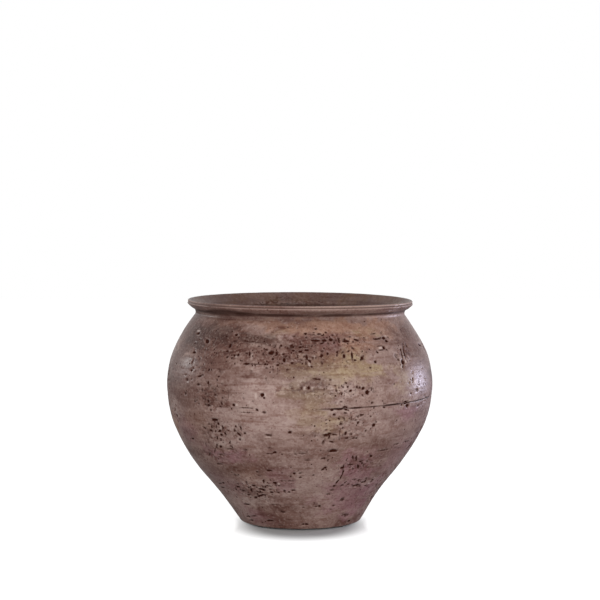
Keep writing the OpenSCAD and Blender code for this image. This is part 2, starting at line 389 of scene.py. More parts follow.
# depth, then degrees round, height, half-width, half-height and, for some, a turn in degrees
placed_marks = six_numbers({
    1: [
        (-31.9, 221.6, 1.8, 1.3), (-58.8, 219.9, 2.6, 1.6), (44, 217, 2.3, 1.6), (45, 213.7, 1.9, 1.4),
        (-33.4, 210, 1.4, 2.2), (41.6, 206.9, 1.6, 1.8), (0.3, 206, 1.7, 1.2), (12.3, 203.4, 1, 1.4),
        (-28, 201, 1.5, 1.3), (19.7, 200.5, 1.4, 1.9), (28.1, 197.4, 1.5, 1.9), (50.6, 190, 2.2, 2.4),
        (3.6, 167.8, 1.3, 1.5), (26.8, 165.6, 1.6, 1.4), (28.7, 160.8, 2, 2.1), (-15.4, 159.6, 1.9, 1.9),
        (-28.2, 147, 1.4, 1.4), (18.9, 145.4, 2.3, 1.5), (50.3, 145.4, 2.6, 1.6), (51.9, 141.6, 2.4, 1.7),
        (14.3, 138.1, 1.5, 1.2), (25.3, 127.9, 1.3, 1.1), (33.3, 123.7, 1.9, 1.8), (-13.3, 115.2, 3.4, 1),
        (-11.1, 94.8, 1.9, 1.3), (-15, 73.2, 3.3, 0.9), (-13.3, 57.9, 2, 1.4), (-23.3, 49.2, 2.8, 1.1),
        (-25.5, 45, 2.6, 1), (5.6, 6, 2.2, 0.9), (-48.3, 212.8, 2.8, 1.9, -20), (23.4, 200.5, 0.9, 4.5, -6),
        (3, 200, 1.1, 2.8, 8), (51.7, 198, 0.9, 6, -14), (-6.7, 197, 1.4, 2.3, 10), (4.2, 196, 0.9, 2, 35),
        (-38.5, 128.8, 4, 1.4, 4), (-38.7, 97.8, 1.8, 1.3, 15), (13.6, 76.4, 1.7, 1.3, 30),
        (41.3, 54.7, 2.4, 1, -15), (37.4, 51.4, 4.2, 1.3, 4), (-22, 47.8, 1.3, 1.4, -20),
        (-27, 39.8, 3, 1, 10), (-42.6, 26.9, 4.2, 0.9, 8),
    ],
    0.9: [
        (2.7, 224.6, 1.4, 1.2), (9.4, 224, 2, 0.9), (14.7, 218, 2, 1.8), (11.5, 217.5, 2.5, 1.5),
        (39.5, 216.7, 5.5, 1), (-22.5, 202.5, 1.2, 2), (-54.8, 199.7, 3, 1.1), (-11.7, 198, 1.2, 1.4),
        (24.5, 195.8, 1.3, 1), (34.4, 192.7, 1.6, 1.4), (-14.7, 192.5, 1.3, 0.9), (-23, 192.2, 3.4, 1.1),
        (5, 190.2, 1, 1), (25.4, 166.7, 1, 1.4), (21.2, 163.6, 1, 1.5), (-14.6, 156.6, 1, 0.9),
        (16.5, 143.8, 3, 0.8), (13.3, 143.2, 1.6, 1), (26.5, 136.2, 2.5, 0.9), (-4, 118.8, 1.8, 1.5),
        (11.5, 115.3, 3.4, 1.3), (-34, 113.7, 1, 2), (13, 113.2, 0.9, 1.6), (15.8, 95.6, 5, 0.8),
        (-2, 70.2, 1.4, 1.3), (-5.8, 46.6, 1.2, 1.1), (15, 28.1, 1.5, 1.3), (2.5, 6, 1.6, 1),
        (53.9, 199, 1, 6.5, -14), (19.4, 142.9, 1.9, 0.9, -15), (-36.9, 124.5, 1.5, 1.4, 20),
        (-25.7, 122, 1.1, 2, 15), (-34.7, 121, 0.9, 2.6, 15), (-36.6, 116.6, 2, 1.2, 25),
        (-27, 114.6, 2.8, 1.3, -38), (-36.3, 112, 1.9, 1.3, 15), (-39.2, 108, 1.1, 1.8, -20),
        (37.4, 87, 2.2, 1.1, -15), (32, 75.5, 1, 3.6, 30), (24.2, 70, 0.9, 4, 4), (22.7, 58.5, 1, 2.8, -20),
        (49.4, 55.6, 2.4, 0.9, -12), (-40.5, 49, 2.6, 1.1, 15), (-24, 41.6, 3.8, 0.8, 10),
        (-30.5, 37.3, 2.4, 1.3, 30), (50, 5.2, 3, 1.2, -8),
    ],
    0.8: [
        (7.8, 229.4, 1.5, 1), (24.7, 220.5, 1.3, 1), (0.2, 210.5, 1.6, 1.1), (3, 207.5, 2, 1.2),
        (-2.8, 207, 1.7, 1.1), (16.7, 204.8, 1.2, 1), (-12.6, 204.5, 3.2, 2.3), (-10.2, 203.5, 1.4, 2.3),
        (-24, 203.3, 1.8, 0.9), (52.2, 203, 1.2, 1.2), (36.9, 202.9, 1.2, 1.6), (27.2, 196, 1, 0.9),
        (-9.3, 191.7, 1.4, 1.2), (-53.2, 180.5, 2, 1), (52.5, 166.8, 0.9, 1), (31.2, 149, 1.5, 1.3),
        (19, 139, 1.8, 0.9), (24.9, 135, 1.2, 1.2), (16.5, 133.8, 1.3, 1.3), (-42, 123.4, 1.4, 0.8),
        (-28.7, 118.2, 1.4, 1.1), (20.2, 116.3, 1.2, 2.8), (-41.8, 116, 3, 1), (-24, 116, 1.4, 1.1),
        (14.3, 85.2, 1.1, 1.4), (-21.7, 70.8, 1.3, 1.1), (1.2, 70.7, 1.6, 1), (-11.2, 54.4, 1.8, 0.8),
        (-27.5, 53, 2.6, 1.4), (-3, 49.2, 2.3, 1.1), (-17, 45.6, 1.9, 1.1), (27.5, 217, 2.8, 1.2, -20),
        (17.6, 127.3, 2, 1.2, -12), (-28, 123.5, 1, 1.7, 25), (-38.2, 121.5, 0.9, 2.2, -10),
        (25, 110.5, 3.4, 1, -5), (-37.4, 105.8, 1.5, 1.1, 25), (-58, 102.3, 3, 1, 8),
        (-40.8, 99, 0.8, 3, -25), (27, 87, 1.1, 2.8, 30), (29, 85.5, 1, 4, 20), (-44.5, 76, 4.5, 0.9, 8),
        (23.4, 76, 0.8, 4, 8), (12.4, 74.3, 1.8, 1.1, 30), (24, 64.5, 0.8, 3.4, -2),
        (-20, 52.2, 0.9, 1.8, -20), (-53, 51, 3, 1, 18), (-31, 46.5, 1.3, 3, -20), (-59, 44, 4, 1, 10),
        (-35.4, 40, 2, 1, 20), (-27, 9, 4, 1.2, 5), (-49, 6.2, 4, 0.8, 6),
    ],
    0.7: [
        (16, 222.6, 1.6, 0.8), (11, 222.5, 2, 0.8), (7.6, 217.5, 4.5, 1.5), (22, 216, 4, 1.5),
        (25.5, 215, 1.2, 0.8), (-3.5, 211.8, 2.4, 2.2), (39.5, 209.2, 4.2, 0.6), (10.3, 206, 1.5, 1),
        (39.5, 204.8, 4.2, 0.6), (-7.3, 203.3, 1.6, 1.1), (16.4, 201.5, 0.8, 1.4), (1.8, 201, 0.9, 2),
        (-33.4, 198.4, 1.6, 1.5), (-30.9, 197, 1.1, 1.2), (2.6, 194.3, 0.9, 2.4), (47.9, 193, 1.3, 1),
        (-19, 192, 9, 0.6), (-36, 177, 1.5, 1.1), (-57, 174.8, 2, 0.8), (18, 168, 1.3, 1.1),
        (20, 168, 1.1, 1.1), (14.7, 158.7, 1.2, 0.9), (59, 157.5, 2.2, 1.4), (-41.3, 149, 1.6, 1.8),
        (47.8, 143.3, 1.6, 1.2), (-14.6, 140.5, 1.9, 1.1), (-41, 120.5, 1, 2), (15, 115.6, 3, 1.2),
        (22.6, 115.3, 2.2, 1), (-45.6, 104, 1, 0.8), (15.8, 97.2, 5, 1.8), (-1.6, 93.6, 1.4, 1),
        (-13.8, 93.4, 3.4, 0.9), (14.2, 91, 1.6, 1), (4.6, 86.5, 4, 0.9), (27, 78.8, 4, 0.9),
        (8.1, 67.8, 1.1, 1.2), (-4, 66.3, 1.1, 1.3), (1.3, 65.6, 1.7, 1), (-8, 61, 3, 0.9),
        (-3.9, 61, 3.2, 0.9), (-18, 54, 3.4, 0.9), (22, 53, 2, 1.8), (-26, 51, 1.3, 1),
        (-31.6, 50.5, 1.6, 0.8), (-16.8, 50, 3, 0.8), (21.3, 48, 2.4, 1.1), (19.5, 43, 2.6, 1.2),
        (-18, 30.6, 6.5, 0.6), (-13, 21, 3.4, 1.1), (19.5, 205, 1.8, 1, 25), (-33.9, 204, 2, 1.3, -15),
        (26.5, 158, 0.9, 1.4, 20), (-17.8, 143.2, 1.8, 1.1, -30), (37.5, 143, 2.2, 1, -10),
        (18.8, 133, 1, 2, 20), (21, 110.9, 2, 1, -8), (12, 88, 3, 1.2, 12), (-48.5, 87, 0.9, 3, -45),
        (32.6, 81, 2.5, 1.4, -30), (36.5, 81, 2.2, 1, -30), (35, 76.8, 1, 3, 30), (33.5, 59.5, 3, 0.8, -15),
        (-38, 45, 3, 1, 15), (31.6, 34.4, 2.2, 2.6, 20), (26.2, 27.8, 1.8, 1.1, -15),
        (-50, 10.3, 3, 1.4, 15),
    ],
    0.6: [
        (-6, 231, 1, 0.7), (6.7, 225.7, 1.2, 0.9), (12.7, 225.5, 1.3, 1.1), (-2.6, 221.8, 2.2, 0.9),
        (-15.5, 221.4, 1.5, 0.8), (-26.2, 219.3, 2.2, 1), (18.7, 218, 1.5, 2.5), (-31.5, 215.2, 2.6, 1.2),
        (7, 213.5, 0.9, 2.4), (5, 212, 2.5, 0.9), (-11.5, 211.5, 2, 2.2), (-15, 207.5, 2, 1.2),
        (31, 203.7, 1.2, 0.8), (9.8, 202.5, 1.2, 2.6), (-1, 202, 1.2, 1), (5.8, 199.5, 1, 2),
        (10.2, 197.8, 1, 0.7), (-3.3, 194, 1.6, 1.6), (-11.2, 187, 0.6, 5), (-52, 183, 2, 1),
        (-45, 177.2, 2, 0.9), (-55.4, 169.7, 2.4, 1.4), (0.7, 167.8, 1.4, 1.2), (15, 164.8, 1, 2),
        (-37.2, 156.5, 2.4, 1.3), (53.8, 154.8, 1.7, 1.1), (-36.8, 152, 1, 1.8), (17.1, 152, 1.4, 1.2),
        (-34.2, 148.5, 0.9, 2.4), (37.3, 147.5, 0.8, 1.5), (-22, 144.8, 8, 0.5), (-34.7, 144.2, 1.6, 0.9),
        (21.6, 139.2, 1.1, 1), (-26.3, 126.3, 1.4, 0.7), (31.8, 119.5, 1, 1.5), (15.5, 110.9, 1.6, 0.7),
        (52, 97.4, 6, 1), (1.5, 94.4, 3.6, 1.1), (44, 92.4, 9, 1.1), (-40.5, 88, 5, 1.2),
        (-21, 66, 2.2, 0.8), (27, 53, 2, 1.8), (-13, 46, 2, 1.3), (12, 31.2, 2.6, 0.6),
        (-13.6, 28.5, 1.8, 0.7), (12.4, 28, 2.8, 0.8), (6.5, 223.2, 4.5, 0.6, -8), (38.5, 222.5, 4, 0.8, 8),
        (55.6, 207, 0.9, 3.5, -30), (58.6, 206.5, 1.6, 2.6, -20), (7, 177, 4.5, 1.2, -8),
        (-14, 176.5, 1, 2, 10), (16.1, 168, 0.9, 1.5, 20), (-36.2, 167.5, 0.9, 2, 20), (22, 133, 1, 2, 20),
        (17.4, 117.5, 0.7, 4, 5), (10.7, 107, 1.5, 3.2, -15), (61.5, 98, 9, 1.1, -3),
        (-43.5, 92, 0.9, 4, -30), (29.3, 73.5, 1, 2.4, 30), (-38.2, 67.5, 1.8, 0.9, 25),
        (46.5, 49.2, 3, 1, -10), (-58, 49, 5, 1.2, 15), (-42, 12.5, 5, 1, 8), (-18, 4.3, 3, 0.9, 10),
    ],
    0.5: [
        (-1.4, 229.8, 1.5, 0.7), (-20.5, 219.8, 1.2, 1), (32, 218.5, 1.3, 0.9), (-16.5, 218.3, 1, 1.2),
        (47, 217.4, 2.2, 1), (31.7, 214.5, 1.2, 0.8), (-44, 213, 2, 1.3), (-36, 211.5, 1, 1),
        (28.7, 204, 1.2, 0.7), (56.3, 190.7, 2, 0.8), (-53.8, 189, 1.3, 1.2), (-14, 188.5, 2, 1.2),
        (-3, 187.8, 4, 0.6), (31.3, 186.8, 1.6, 1.3), (-9.2, 186, 0.6, 4), (-48.3, 184.2, 2, 0.8),
        (-45.3, 182, 1.4, 1), (56, 177.5, 1.8, 1.2), (12.8, 176, 1.6, 1), (21.4, 170.8, 1, 0.7),
        (14.5, 169.6, 1.2, 1), (-42.5, 169.5, 1.3, 1.5), (-33.9, 169.3, 1.6, 1), (68, 169, 1.6, 1.3),
        (55.3, 168.5, 1.2, 1.5), (43, 167.5, 1.6, 1), (12.7, 167, 0.8, 1.5), (-40, 166.5, 2, 1.5),
        (19.3, 163, 0.8, 1.4), (-38, 162.5, 2.6, 2), (-30.5, 158, 0.8, 3), (-42.5, 157, 2.6, 1.3),
        (-56.5, 154.5, 3, 2), (-33.6, 154, 1.6, 1.4), (-19.3, 152.5, 1.4, 0.9), (-31.9, 151.6, 1.3, 1),
        (-43.5, 151, 3, 1.2), (14.8, 151, 1.4, 1), (29.8, 151, 1.2, 1), (-47.2, 145, 1.8, 1.1),
        (-42.8, 144.6, 2, 1.4), (-22, 139.8, 9, 0.6), (-13.2, 100.4, 3, 0.6), (9.9, 97.5, 1, 1.2),
        (3.8, 96.8, 1, 2.4), (31.3, 87.6, 1.1, 1), (3, 27.2, 1.8, 1), (44, 223, 2, 1.4, 20),
        (-23, 215.6, 11, 1.3, -2), (-4.5, 200, 1, 1.6, 20), (7.6, 158.5, 1, 1.5, 30),
        (-49.5, 147.8, 2.4, 1.5, 20), (-26.5, 142, 0.7, 2, 20), (34.6, 119, 0.8, 1.2, 30),
        (-48.6, 97, 1, 3.5, -15), (-25.5, 96, 3, 1.5, 15), (55, 92.6, 9, 0.7, -3),
        (24.8, 23.8, 2, 0.8, -10), (41, 14, 6, 2.4, -10),
    ],
    0.45: [
        (47.5, 197, 3, 3), (-3.5, 168, 3, 1.2), (-33, 96, 6, 1.4), (-36.5, 64, 4, 1.8),
    ],
    0.4: [
        (-18.7, 221.2, 1.2, 0.8), (-9, 215, 6, 0.9), (-22.2, 197, 0.7, 3.5), (-20.8, 184, 1.6, 1.5),
        (31.5, 165, 1.1, 6), (16.8, 161.5, 1.1, 0.9), (-23.6, 155.5, 1.5, 1.3), (11.5, 152.5, 1.6, 1),
        (32, 138, 2, 1), (-47, 198, 0.9, 4, 20), (30, 176, 1, 2, -30),
    ],
    0.35: [
        (14.3, 192.5, 1.2, 1.2), (-35.3, 183, 5, 2),
    ],
})
# painted highlights, pale glints beside some pits and where the lamps shine, by strength, in the same numbers
placed_glints = six_numbers({
    1: [
        (39.4, 206.9, 2.4, 1.1), (52.7, 190.3, 1.4, 1.6), (60.4, 160.3, 1.8, 1.8), (-35.7, 120, 0.9, 2),
        (48.2, 51.9, 2, 1, -15),
    ],
    0.9: [
        (49.2, 190.2, 0.9, 2.8), (-26.6, 147.6, 1.4, 1.2), (-11, 57.6, 1.3, 1.4),
        (-14.2, 160, 0.9, 1.6, 20),
    ],
    0.8: [
        (-59.5, 222.5, 3.2, 1), (48.6, 185.2, 1.2, 1), (1.9, 167.6, 1, 1.6), (57.5, 167, 1.8, 2.2),
        (-18, 158.5, 1.2, 3), (4, 192.6, 1, 2, 15),
    ],
    0.7: [
        (45.6, 218.8, 1.2, 1),
    ],
    0.6: [
        (-57.5, 217.8, 2.6, 0.9), (-28.8, 199, 1.4, 1.2), (-16, 163.2, 3, 1), (-20.9, 151.8, 1, 1.2),
        (-13.5, 113, 3.4, 0.7),
    ],
    0.5: [
        (-21.2, 200, 0.9, 4), (5, 167, 0.9, 1.4),
    ],
    0.4: [
        (18.5, 164, 2.4, 5),
    ],
})
print(len(placed_marks), "marks placed by eye and", len(placed_glints), "glints")

# %% Crowds of pits
# degrees round, height, spread in degrees, spread in height, pits, half-width of a pit
placed_crowds = [
    (-10, 201, 14, 8, 26, 1), (20, 205, 10, 8, 16, 1), (20, 218, 12, 4, 14, 1), (-40, 156, 7, 10, 12, 1),
    (-37, 112, 6, 12, 14, 1.1), (-28, 47, 12, 8, 26, 1.1), (20, 163, 8, 6, 16, 0.9),
    (21, 131, 7, 7, 14, 0.9), (-48, 188, 6, 14, 12, 1), (40, 55, 9, 6, 14, 1), (33, 82, 8, 7, 16, 1),
    (17, 115, 9, 5, 10, 1), (52, 200, 5, 9, 10, 0.9), (-44, 215, 10, 6, 14, 1.1), (58, 165, 6, 14, 10, 0.8),
]
chance = np.random.default_rng(11)
hidden_crowds = [
    (chance.uniform(68, 292), chance.uniform(25, 225), chance.uniform(4, 14), chance.uniform(4, 12),
     int(chance.integers(12, 46)), chance.uniform(0.9, 1.5))
    for _ in range(48)
]
golden_angle = 2.39996


def crowd_of_pits(degrees, height, spread_degrees, spread_height, pits, half_width):
    """Pits on a sunflower's spiral: pit k lies k golden angles round and 1.8 sqrt(k / pits) spreads out,
    then shifted a little. Two in five are stretched, upright or along the wheel's turn."""
    stretch = chance.choice([1.0, 1.0, 1.0, 1.6, 2.4], pits)
    upright = chance.random(pits) < 0.6
    size = half_width * chance.uniform(0.7, 1.3, pits)
    out = 1.8 * np.sqrt((np.arange(pits) + 0.5) / pits) + chance.normal(0, 0.12, pits)
    turn = golden_angle * np.arange(pits) + chance.normal(0, 0.2, pits)
    return np.stack([
        degrees + spread_degrees * out * np.cos(turn),
        height + spread_height * out * np.sin(turn),
        np.where(upright, size, size * stretch),
        np.where(upright, size * stretch, size),
        chance.uniform(-20, 20, pits),
        chance.uniform(0.3, 0.85, pits),
    ], axis=1)


def lone_marks(number, low, high, half_width, depth):
    """Marks on their own between two angles, half of them dashes along the wheel's turn."""
    size = half_width * chance.uniform(0.7, 1.4, number)
    return np.stack([
        chance.uniform(low, high, number), chance.uniform(6, 230, number),
        size * chance.choice([1.0, 1.0, 1.5, 2.5], number), size,
        chance.uniform(-20, 20, number), depth * chance.uniform(0.6, 1, number),
    ], axis=1)


strays = np.concatenate([lone_marks(170, -180, 180, 0.8, 0.4), lone_marks(130, 68, 292, 1.3, 1.0)])
crowds = [crowd_of_pits(*crowd) for crowd in placed_crowds + hidden_crowds]
marks = np.concatenate([placed_marks, *crowds, strays])
marks = marks[(marks[:, 1] > 4) & (marks[:, 1] < stations[-1, 0] - foot_z - 2)]
print(len(marks), "marks in all")


# %% Pressing the marks in
def gap(angle, degrees):
    """How far an angle lies from one in degrees, the short way round, in radians."""
    return (angle - math.radians(degrees) + np.pi) % (2 * np.pi) - np.pi


bowl_reach, edge_reach = 1.5, 2.6


def press_marks(angle, height, marks):
    """How deep the marks are pressed in, and how dark their bowls and their edges are. In a mark's
    own turned axes q is the distance in half-widths. A bowl is 1.2 - 1.2 (q / 1.5)^2, at most 1, and an
    edge is 1 - (q / 2.6)^2, both times the mark's depth and never below 0. A bowl is pressed in by its
    smaller half-width, up to 1.5 mm, times that. Where marks meet, the greater one counts."""
    radius, slope = outline(height)
    along = np.hypot(1, slope)
    pushed, bowls, edges = (np.zeros(height.shape) for _ in range(3))
    middle_heights = height.mean(axis=1)
    for degrees, up, half_w, half_h, turn, depth in marks:
        up, turn = up + foot_z, math.radians(turn)
        reach = edge_reach * max(half_w, half_h)
        rows = np.flatnonzero(np.abs(middle_heights - up) < reach + 2)
        if not len(rows):
            continue
        apart = gap(angle, degrees)
        columns = np.flatnonzero(np.abs(apart) * radius[rows[0], 0] < reach)
        block = np.ix_(rows, columns)
        u = apart[columns] * radius[block]
        v = (height[block] - up) * along[block]
        x = (u * math.cos(turn) + v * math.sin(turn)) / half_w
        y = (v * math.cos(turn) - u * math.sin(turn)) / half_h
        bowl = depth * np.clip(1.2 - 1.2 * (x**2 + y**2) / bowl_reach**2, 0, 1)
        edge = depth * np.clip(1 - (x**2 + y**2) / edge_reach**2, 0, 1)
        pushed[block] = np.maximum(pushed[block], bowl * min(half_w, half_h, 1.5))
        bowls[block] = np.maximum(bowls[block], bowl)
        edges[block] = np.maximum(edges[block], edge)
    return pushed, bowls, edges


def crowding(angle, height):
    """How thick the small pits stand: a bell curve round the centre of each crowd, 1 for 30 pits or more."""
    total = np.zeros(height.shape)
    for degrees, up, spread_degrees, spread_height, pits, _ in placed_crowds + hidden_crowds:
        apart = gap(angle, degrees) / math.radians(spread_degrees)
        distance = np.hypot(apart, (height - foot_z - up) / spread_height)
        total = np.maximum(total, min(pits / 30, 1) * bell(distance, math.sqrt(2)))
    return total


# %% [markdown]
# ## Blotches of colour
# Smoke, ash and rubbed-in stain give such a pot its blotches. Each kind of blotch is a list of soft
# ovals: an angle, a height, two half-widths and a strength. Hills of clay fray their edges, so that
# no oval is seen. The same numbers set the colours of the pieces on both sides of a joint.

# %% Blotches
# degrees round, height, half-width in degrees, half-height, strength
blotches = {
    "ochre": [
        (20, 183, 15, 15, 1), (-1, 184, 9, 13, 0.7), (4, 150, 7, 26, 0.7), (31, 227, 8, 8, 1),
        (-8, 227, 5, 7, 0.8), (13, 128, 5, 12, 0.6), (49, 167, 5, 20, 0.6), (5, 195, 8, 8, 0.5),
        (22, 198, 9, 8, 0.6), (-1, 166, 8, 9, 0.6), (29, 192, 6, 6, 0.5), (36, 225, 7, 6, 0.6),
    ],
    "rust": [
        (10, 229, 22, 9, 1), (28, 212, 14, 9, 0.9), (44, 226, 12, 9, 0.8), (14, 200, 7, 6, 0.6),
        (-65, 205, 14, 20, 0.5), (-50, 122, 10, 14, 0.4), (-27, 67, 9, 9, 0.4), (-5, 233, 60, 4, 0.6),
    ],
    "rose": [
        (-20, 165, 13, 17, 1), (-14, 138, 24, 18, 0.9), (22, 163, 14, 12, 0.8), (40, 188, 12, 18, 0.9),
        (-17, 185, 10, 10, 0.3), (2, 118, 34, 14, 0.5), (34, 138, 18, 12, 0.6), (54, 160, 10, 22, 0.6),
        (6, 60, 15, 24, 0.6), (14, 28, 14, 12, 0.6), (-33, 136, 10, 10, 0.6), (-36, 106, 11, 9, 0.9),
        (-20, 228, 9, 7, 0.5), (-28, 60, 12, 6, 0.4), (-45, 35, 14, 7, 0.9), (-58, 24, 14, 14, 1),
        (-68, 135, 12, 18, 0.9), (-62, 46, 10, 10, 0.7), (-28, 108, 7, 8, 0.8), (-8, 85, 7, 8, 0.6),
        (-30, 38, 10, 5, 0.6), (-25, 26, 10, 7, 0.7), (30, 32, 12, 12, 0.7), (22, 127, 8, 6, 0.5),
        (-24, 46, 12, 7, 0.4), (52, 40, 10, 16, 0.5), (-40, 4, 14, 5, 0.5), (4, 97, 14, 5, 0.5),
        (38, 56, 15, 10, 1), (37, 115, 13, 7, 0.7), (36, 219, 10, 9, 1), (52, 202, 8, 9, 1),
        (60, 44, 10, 8, 1), (-12, 168, 7, 6, 0.5), (-24, 56, 12, 8, 1), (-20, 104, 8, 6, 0.8),
        (-25, 121, 9, 7, 0.9), (-46, 14, 10, 9, 0.8), (-62, 8, 10, 8, 0.6), (-44, 38, 9, 9, 1),
        (-41, 187, 9, 8, 0.7), (-4, 221, 8, 8, 1), (-4, 56, 7, 6, 0.5), (24, 80, 9, 6, 0.5),
        (32, 176, 9, 6, 0.5), (-12, 48, 7, 5, 0.5), (-4, 200, 6, 5, 0.4), (20, 68, 7, 7, 0.7),
        (-20, 176, 7, 6, 0.5), (-52, 25, 8, 7, 0.9), (-8, 8, 8, 5, 0.3), (-19, 56, 9, 7, 1),
        (28, 56, 8, 7, 0.6), (28, 192, 9, 6, 0.4), (20, 176, 7, 6, 0.6), (4, 168, 6, 6, 0.5),
        (-5, 32, 6, 6, 0.4), (60, 50, 8, 10, 0.6), (28, 120, 7, 5, 0.5), (20, 152, 6, 5, 0.4),
        (28, 80, 6, 5, 0.5), (36, 225, 8, 6, 0.6), (-24, 56, 10, 6, 1), (44, 120, 9, 6, 0.5),
        (-36, 192, 9, 7, 0.4), (-44, 32, 9, 7, 0.6),
    ],
    "umber": [
        (-50, 206, 26, 22, 1), (-14, 204, 24, 11, 0.35), (-30, 217, 24, 6, 1), (12, 217, 12, 5, 0.6),
        (-58, 150, 14, 14, 0.6), (-36, 182, 10, 20, 0.35), (-20, 12, 18, 14, 0.65), (-44, 68, 13, 9, 0.55),
        (66, 215, 14, 14, 0.6), (0, 212, 10, 10, 0.5), (60, 196, 12, 12, 0.25), (-25, 186, 18, 8, 0.15),
        (38, 103, 18, 5, 0.5), (-8, 26, 18, 5, 0.45), (-28, 76, 9, 7, 0.7), (-37, 155, 7, 12, 0.45),
        (2, 0, 50, 4, 0.3), (-1, 168, 6, 9, 0.55), (15, 146, 10, 8, 0.3), (-8, 181, 11, 9, 0.65),
        (3, 157, 8, 13, 0.45), (1, 113, 5, 6, 0.5), (-10, 229, 4, 6, 0.8), (6, 172, 7, 9, 0.5),
        (-42, 117, 7, 8, 0.5), (60, 203, 8, 8, 0.15), (-20, 222, 8, 6, 0.5), (45, 3, 20, 5, 0.5),
        (4, 233, 7, 4, 0.4), (-66, 206, 10, 12, 0.4), (-57, 208, 9, 12, 0.7), (-74, 190, 10, 16, 0.6),
        (-62, 84, 10, 8, 0.3), (-50, 128, 12, 8, 0.4), (-66, 86, 10, 10, 0.5), (46, 88, 10, 7, 0.5),
        (-5, 66, 6, 8, 0.4), (-29, 25, 8, 6, 0.55), (12, 6, 8, 5, 0.4), (56, 6, 12, 7, 0.6),
        (-45, 228, 26, 10, 0.6), (-72, 222, 12, 22, 0.8), (6, 192, 12, 9, 0.6), (4, 208, 12, 6, 0.6),
        (4, 200, 6, 5, 0.25), (66, 180, 10, 30, 0.6), (-28, 226, 8, 6, 0.2), (3, 73, 6, 6, 0.35),
        (52, 96, 7, 4, 0.5), (-60, 177, 7, 6, 0.5), (-16, 216, 10, 4, 1), (-12, 224, 5, 4, 0.4),
        (-12, 80, 6, 5, 0.4), (12, 176, 6, 5, 0.3), (28, 111, 6, 4, 0.3), (37, 96, 7, 4, 0.4),
        (-12, 112, 6, 5, 0.35), (-28, 144, 6, 5, 0.35), (-33, 168, 8, 6, 0.4), (4, 128, 6, 5, 0.3),
        (12, 112, 6, 4, 0.3), (4, 16, 6, 6, 0.3), (12, 24, 6, 5, 0.3), (-14, 232, 12, 4, 0.35),
        (4, 31, 6, 6, 0.3), (60, 112, 7, 6, 0.3), (60, 16, 7, 6, 0.3), (44, 208, 6, 5, 0.3),
        (4, 104, 6, 5, 0.3), (36, 8, 7, 6, 0.35), (52, 224, 7, 7, 0.4), (52, 176, 6, 5, 0.2),
        (-28, 40, 7, 6, 0.4), (-54, 168, 6, 6, 0.3), (12, 209, 6, 5, 0.4), (62, 217, 7, 7, 0.4),
        (44, 196, 6, 7, 0.35), (-44, 112, 6, 5, 0.35), (-60, 104, 7, 6, 0.3),
    ],
    "mauve": [
        (-44, 54, 12, 11, 0.25), (-38, 88, 12, 8, 0.9), (30, 84, 12, 14, 0.8), (38, 44, 24, 26, 0.8),
        (53, 134, 8, 8, 0.8), (-36, 14, 12, 10, 0.6), (-9, 62, 6, 14, 0.6), (60, 90, 12, 20, 0.4),
        (13, 213, 6, 8, 0.6), (66, 206, 7, 8, 0.5), (-3, 217, 8, 4, 0.4), (42, 13, 11, 6, 0.7),
        (-62, 115, 10, 16, 0.5), (-54, 50, 14, 20, 0.25), (-48, 12, 14, 14, 0.2), (52, 22, 12, 18, 0.5),
    ],
    "scorched": [
        (-48, 221, 16, 9, 0.9), (-38, 224, 6, 7, 1), (-60, 217, 10, 10, 1), (-38, 217, 12, 5, 0.4),
        (-19, 216.5, 10, 6.5, 1), (-55, 216, 10, 8, 1),
    ],
    "dragged": [
        (-30, 41, 10, 6, 0.5), (0, 168, 9, 8, 0.7), (-12, 52, 7, 7, 0.2), (33, 80, 11, 9, 0.6),
        (40, 55, 11, 6, 0.5), (18, 115, 11, 6, 0.7), (8, 95, 14, 5, 0.4), (-10, 27, 16, 5, 0.5),
        (-12, 203, 14, 8, 0.8), (-2, 210, 9, 5, 0.9), (12, 218, 13, 5, 0.9), (25, 216, 9, 4, 0.7),
        (-40, 156, 8, 12, 0.7), (-37, 118, 6, 10, 0.8), (-27, 118, 5, 8, 0.4), (20, 134, 8, 6, 0.6),
        (18, 163, 8, 6, 0.5), (53, 200, 5, 10, 0.8), (-32, 205, 6, 9, 0.6), (-46, 214, 12, 10, 0.5),
        (-38, 90, 12, 8, 0.6),
    ],
}
# Each kind goes on over the hidden side at random, with the length of its name as its seed.
for kind, places in blotches.items():
    chance = np.random.default_rng(len(kind))
    places += [
        (chance.uniform(75, 285), chance.uniform(0, 235), chance.uniform(8, 26), chance.uniform(6, 24),
         chance.uniform(0.4, 1.0))
        for _ in range(15)
    ]
# layers that shift a blotch's edge round the pot, in radians, and up, and that fray it, in half-widths
round_layers = [(0.06, 70, 7, 40), (0.03, 170, 3, 60)]
up_layers = [(4, 50, 9, 50), (1.5, 160, 3.2, 70)]
fray_layers = [(0.4, 44, 9, 0), (0.3, 150, 3.5, 20)]


def blotch(kind, angle, height):
    """Sum of the ovals of one kind, at most 1. Each is its strength up to 0.35 half-widths from its middle
    and 0 past 1.45. Hills shift each point before its distance is taken, and fray that distance."""
    seed = len(kind)
    shift_round = layered(angle, height, round_layers, seed)
    height = height + layered(angle, height, up_layers, seed)
    angle = angle + shift_round
    fray = layered(angle, height, fray_layers, seed)
    total = np.zeros(np.broadcast(angle, height).shape)
    for degrees, up, half_degrees, half_height, power in blotches[kind]:
        apart = gap(angle, degrees) / math.radians(half_degrees)
        distance = np.hypot(apart, (height - foot_z - up) / half_height) + fray
        total = total + power * eased(1, 0, (distance - 0.35) / 1.1)
    return np.clip(total, 0, 1)


# %% [markdown]
# ## The seam
# The bowl and the shoulder meet at a seam round the belly. It was smoothed over, and where the clay
# shrank it opened again into a dark hairline. The line wanders a little, so the rows of points near
# it are lifted with it, and both pieces use the same function and so meet at every angle.

# %% Seam functions
seam_reach = 16
seam_lift, seam_wave, seam_turn = 0.5, 1.3, math.radians(20)
